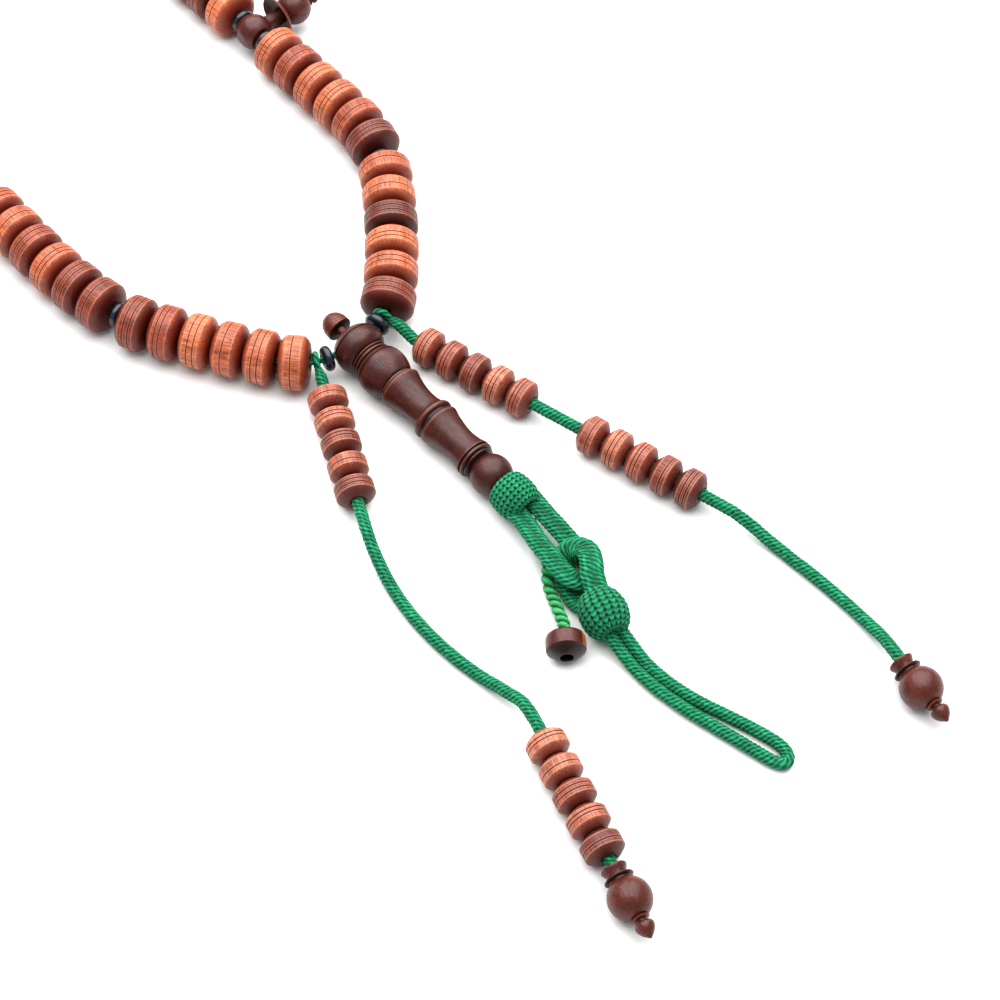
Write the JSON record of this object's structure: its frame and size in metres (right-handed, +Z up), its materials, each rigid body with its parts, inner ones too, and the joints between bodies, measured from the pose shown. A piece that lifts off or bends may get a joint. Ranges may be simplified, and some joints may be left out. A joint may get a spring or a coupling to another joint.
{
  "type": "misbaha prayer beads",
  "caption": "Loop of ridged wooden prayer beads with markers and black discs, a turned leader bead, a crocheted tassel with hanging loop, and two counter strands with finials.",
  "frame": {"origin": "middle of the footprint on the surface that the beads lie on, measured without the free cords", "axes": "+Z up from the surface; +Y from the leader bead along the loop to the middle marker, the longest extent; +X across the loop, to the right of someone who looks along +Y"},
  "size_m": [0.116, 0.5494, 0.012],
  "materials": {
    "bead_wood": "turned and lightly oiled, satin",
    "dark_wood": "turned and polished, satin",
    "counter_wood": "turned and polished, satin",
    "toggle_wood": "turned and polished, satin",
    "black_disc": "polished glossy black",
    "green_cord": "crocheted cord, matt",
    "string_cord": "twisted string, matt",
    "bright_cord": "chain-stitched cord, matt"
  },
  "bodies": {
    "string": {"main_string": "string_cord", "head_disc_right": "black_disc", "head_disc_left": "black_disc", "spacer_discs": "black_disc", "right_beads_1": "bead_wood", "right_beads_2": "bead_wood", "left_beads_1": "bead_wood", "left_beads_2": "bead_wood"},
    "leader": {"leader_bead": "dark_wood", "leader_knob": "dark_wood", "leader_core_cord": "green_cord"},
    "tassel": {"upper_crochet_ball": "green_cord", "upper_loop": "green_cord"},
    "tassel_end": {"link_loop": "green_cord", "lower_crochet_ball": "green_cord", "hanging_loop": "green_cord"},
    "toggle_strand": {"toggle_cord": "bright_cord"},
    "toggle": {"toggle_bead": "toggle_wood"},
    "right_strand": {"right_counter_cord": "green_cord", "right_finial": "dark_wood"},
    "left_strand": {"left_counter_cord": "green_cord", "left_finial": "dark_wood"},
    "right_counter_bead_1": {"right_counter_bead_1": "counter_wood"},
    "right_counter_bead_2": {"right_counter_bead_2": "counter_wood"},
    "right_counter_bead_3": {"right_counter_bead_3": "counter_wood"},
    "right_counter_bead_4": {"right_counter_bead_4": "counter_wood"},
    "right_counter_bead_5": {"right_counter_bead_5": "counter_wood"},
    "right_counter_bead_6": {"right_counter_bead_6": "counter_wood"},
    "right_counter_bead_7": {"right_counter_bead_7": "counter_wood"},
    "right_counter_bead_8": {"right_counter_bead_8": "counter_wood"},
    "right_counter_bead_9": {"right_counter_bead_9": "counter_wood"},
    "right_counter_bead_10": {"right_counter_bead_10": "counter_wood"},
    "left_counter_bead_1": {"left_counter_bead_1": "counter_wood"},
    "left_counter_bead_2": {"left_counter_bead_2": "counter_wood"},
    "left_counter_bead_3": {"left_counter_bead_3": "counter_wood"},
    "left_counter_bead_4": {"left_counter_bead_4": "counter_wood"},
    "left_counter_bead_5": {"left_counter_bead_5": "counter_wood"},
    "left_counter_bead_10": {"left_counter_bead_10": "counter_wood"},
    "left_counter_bead_9": {"left_counter_bead_9": "counter_wood"},
    "left_counter_bead_8": {"left_counter_bead_8": "counter_wood"},
    "left_counter_bead_7": {"left_counter_bead_7": "counter_wood"},
    "left_counter_bead_6": {"left_counter_bead_6": "counter_wood"},
    "right_marker_1": {"right_marker_1": "dark_wood"},
    "right_marker_2": {"right_marker_2": "dark_wood"},
    "left_marker_1": {"left_marker_1": "dark_wood"},
    "left_marker_2": {"left_marker_2": "dark_wood"},
    "middle_marker": {"middle_marker": "dark_wood"},
    "right_far_beads": {"right_beads_8": "bead_wood"},
    "right_last_bead": {"right_bead_last": "bead_wood"},
    "left_far_beads": {"left_beads_7": "bead_wood"},
    "left_last_bead": {"left_bead_last": "bead_wood"},
    "right_beads_3": {"right_beads_3": "bead_wood"},
    "right_beads_4": {"right_beads_4": "bead_wood"},
    "right_beads_5": {"right_beads_5": "bead_wood"},
    "right_beads_6": {"right_beads_6": "bead_wood"},
    "right_beads_7": {"right_beads_7": "bead_wood"},
    "left_beads_3": {"left_beads_3": "bead_wood"},
    "left_beads_4": {"left_beads_4": "bead_wood"},
    "left_beads_5": {"left_beads_5": "bead_wood"},
    "left_beads_6": {"left_beads_6": "bead_wood"}
  },
  "joints": [
    {"name": "leader_swing", "type": "hinge", "parent": "string", "child": "leader", "pos_m": [-0.00254, -0.12635, 0.006], "axis": [-1, 0, 0], "range_deg": [0, 100]},
    {"name": "tassel_swing", "type": "hinge", "parent": "leader", "child": "tassel", "pos_m": [-0.00254, -0.17143, 0.0046], "axis": [-1, 0, 0], "range_deg": [0, 60]},
    {"name": "link_swing", "type": "hinge", "parent": "tassel", "child": "tassel_end", "pos_m": [-0.00444, -0.19995, 0.0045], "axis": [0, 0, 1], "range_deg": [-2, 4]},
    {"name": "toggle_swing", "type": "hinge", "parent": "tassel", "child": "toggle_strand", "pos_m": [-0.00304, -0.18415, 0.0023], "axis": [0, 0, 1], "range_deg": [-8, 0]},
    {"name": "toggle_spin", "type": "hinge", "parent": "toggle_strand", "child": "toggle", "pos_m": [-0.01874, -0.21225, 0.00412], "axis": [-0.6157, -0.788, 0], "continuous": true},
    {"name": "right_strand_swing", "type": "hinge", "parent": "string", "child": "right_strand", "pos_m": [0.00669, -0.12507, 0.006], "axis": [-0.9673, -0.2538, 0], "range_deg": [0, 52]},
    {"name": "left_strand_swing", "type": "hinge", "parent": "string", "child": "left_strand", "pos_m": [-0.01177, -0.12507, 0.006], "axis": [-0.8988, 0.4384, 0], "range_deg": [0, 80]},
    {"name": "right_counter_bead_1_slide", "type": "slide", "parent": "right_strand", "child": "right_counter_bead_1", "axis": [0.2538, -0.9673, 0], "range_m": [0, 0.0022]},
    {"name": "right_counter_bead_2_slide", "type": "slide", "parent": "right_counter_bead_1", "child": "right_counter_bead_2", "axis": [0.2538, -0.9673, 0], "range_m": [0, 0.0022]},
    {"name": "right_counter_bead_3_slide", "type": "slide", "parent": "right_counter_bead_2", "child": "right_counter_bead_3", "axis": [0.2538, -0.9673, 0], "range_m": [0, 0.0022]},
    {"name": "right_counter_bead_4_slide", "type": "slide", "parent": "right_counter_bead_3", "child": "right_counter_bead_4", "axis": [0.2538, -0.9673, 0], "range_m": [0, 0.0022]},
    {"name": "right_counter_bead_5_slide", "type": "slide", "parent": "right_counter_bead_4", "child": "right_counter_bead_5", "axis": [0.2538, -0.9673, 0], "range_m": [0, 0.0022]},
    {"name": "right_counter_bead_6_slide", "type": "slide", "parent": "right_strand", "child": "right_counter_bead_6", "axis": [0.2538, -0.9673, 0], "range_m": [0, 0.0011]},
    {"name": "right_counter_bead_7_slide", "type": "slide", "parent": "right_counter_bead_6", "child": "right_counter_bead_7", "axis": [0.2538, -0.9673, 0], "range_m": [0, 0.0011]},
    {"name": "right_counter_bead_8_slide", "type": "slide", "parent": "right_counter_bead_7", "child": "right_counter_bead_8", "axis": [0.2538, -0.9673, 0], "range_m": [0, 0.0011]},
    {"name": "right_counter_bead_9_slide", "type": "slide", "parent": "right_counter_bead_8", "child": "right_counter_bead_9", "axis": [0.2538, -0.9673, 0], "range_m": [0, 0.0011]},
    {"name": "right_counter_bead_10_slide", "type": "slide", "parent": "right_counter_bead_9", "child": "right_counter_bead_10", "axis": [0.2538, -0.9673, 0], "range_m": [0, 0.0011]},
    {"name": "left_counter_bead_1_slide", "type": "slide", "parent": "left_strand", "child": "left_counter_bead_1", "axis": [-0.4384, -0.8988, 0], "range_m": [0, 0.0013]},
    {"name": "left_counter_bead_2_slide", "type": "slide", "parent": "left_counter_bead_1", "child": "left_counter_bead_2", "axis": [-0.4384, -0.8988, 0], "range_m": [0, 0.0013]},
    {"name": "left_counter_bead_3_slide", "type": "slide", "parent": "left_counter_bead_2", "child": "left_counter_bead_3", "axis": [-0.4384, -0.8988, 0], "range_m": [0, 0.0013]},
    {"name": "left_counter_bead_4_slide", "type": "slide", "parent": "left_counter_bead_3", "child": "left_counter_bead_4", "axis": [-0.4384, -0.8988, 0], "range_m": [0, 0.0013]},
    {"name": "left_counter_bead_5_slide", "type": "slide", "parent": "left_counter_bead_4", "child": "left_counter_bead_5", "axis": [-0.4384, -0.8988, 0], "range_m": [0, 0.0013]},
    {"name": "left_counter_bead_10_slide", "type": "slide", "parent": "left_strand", "child": "left_counter_bead_10", "axis": [0.284, 0.9588, 0], "range_m": [0, 0.0012]},
    {"name": "left_counter_bead_9_slide", "type": "slide", "parent": "left_counter_bead_10", "child": "left_counter_bead_9", "axis": [0.284, 0.9588, 0], "range_m": [0, 0.0012]},
    {"name": "left_counter_bead_8_slide", "type": "slide", "parent": "left_counter_bead_9", "child": "left_counter_bead_8", "axis": [0.284, 0.9588, 0], "range_m": [0, 0.0012]},
    {"name": "left_counter_bead_7_slide", "type": "slide", "parent": "left_counter_bead_8", "child": "left_counter_bead_7", "axis": [0.284, 0.9588, 0], "range_m": [0, 0.0012]},
    {"name": "left_counter_bead_6_slide", "type": "slide", "parent": "left_counter_bead_7", "child": "left_counter_bead_6", "axis": [0.284, 0.9588, 0], "range_m": [0, 0.0012]},
    {"name": "right_marker_1_swing", "type": "hinge", "parent": "string", "child": "right_marker_1", "pos_m": [0.03875, -0.0401, 0.006], "axis": [0, -1, 0], "range_deg": [0, 150]},
    {"name": "right_marker_2_swing", "type": "hinge", "parent": "string", "child": "right_marker_2", "pos_m": [0.03875, 0.1067, 0.006], "axis": [0, -1, 0], "range_deg": [0, 150]},
    {"name": "left_marker_1_swing", "type": "hinge", "parent": "string", "child": "left_marker_1", "pos_m": [-0.03875, -0.03657, 0.006], "axis": [0, 1, 0], "range_deg": [0, 150]},
    {"name": "left_marker_2_swing", "type": "hinge", "parent": "string", "child": "left_marker_2", "pos_m": [-0.03875, 0.11023, 0.006], "axis": [0, 1, 0], "range_deg": [0, 150]},
    {"name": "middle_marker_swing", "type": "hinge", "parent": "string", "child": "middle_marker", "pos_m": [0, 0.25538, 0.006], "axis": [1, 0, 0], "range_deg": [0, 150]},
    {"name": "right_far_beads_slide", "type": "hinge", "parent": "string", "child": "right_far_beads", "pos_m": [0, 0.21663, 0.006], "axis": [0, 0, 1], "range_deg": [0, 8]},
    {"name": "right_last_bead_slide", "type": "hinge", "parent": "right_far_beads", "child": "right_last_bead", "pos_m": [0, 0.21663, 0.006], "axis": [0, 0, 1], "range_deg": [0, 9]},
    {"name": "left_far_beads_slide", "type": "hinge", "parent": "string", "child": "left_far_beads", "pos_m": [0, 0.21663, 0.006], "axis": [0, 0, -1], "range_deg": [0, 5]},
    {"name": "left_last_bead_slide", "type": "hinge", "parent": "left_far_beads", "child": "left_last_bead", "pos_m": [0, 0.21663, 0.006], "axis": [0, 0, -1], "range_deg": [0, 7]},
    {"name": "right_beads_3_spin", "type": "hinge", "parent": "string", "child": "right_beads_3", "pos_m": [0.03875, -0.03083, 0.006], "axis": [0, 1, 0], "continuous": true},
    {"name": "right_beads_4_spin", "type": "hinge", "parent": "string", "child": "right_beads_4", "pos_m": [0.03875, 0.01517, 0.006], "axis": [0, 1, 0], "continuous": true},
    {"name": "right_beads_5_spin", "type": "hinge", "parent": "string", "child": "right_beads_5", "pos_m": [0.03875, 0.06117, 0.006], "axis": [0, 1, 0], "continuous": true},
    {"name": "right_beads_6_spin", "type": "hinge", "parent": "string", "child": "right_beads_6", "pos_m": [0.03875, 0.11597, 0.006], "axis": [0, 1, 0], "continuous": true},
    {"name": "right_beads_7_spin", "type": "hinge", "parent": "string", "child": "right_beads_7", "pos_m": [0.03875, 0.19097, 0.006], "axis": [0, 1, 0], "continuous": true},
    {"name": "left_beads_3_spin", "type": "hinge", "parent": "string", "child": "left_beads_3", "pos_m": [-0.03875, -0.0273, 0.006], "axis": [0, 1, 0], "continuous": true},
    {"name": "left_beads_4_spin", "type": "hinge", "parent": "string", "child": "left_beads_4", "pos_m": [-0.03875, 0.0187, 0.006], "axis": [0, 1, 0], "continuous": true},
    {"name": "left_beads_5_spin", "type": "hinge", "parent": "string", "child": "left_beads_5", "pos_m": [-0.03875, 0.0647, 0.006], "axis": [0, 1, 0], "continuous": true},
    {"name": "left_beads_6_spin", "type": "hinge", "parent": "string", "child": "left_beads_6", "pos_m": [-0.03875, 0.1195, 0.006], "axis": [0, 1, 0], "continuous": true}
  ]
}
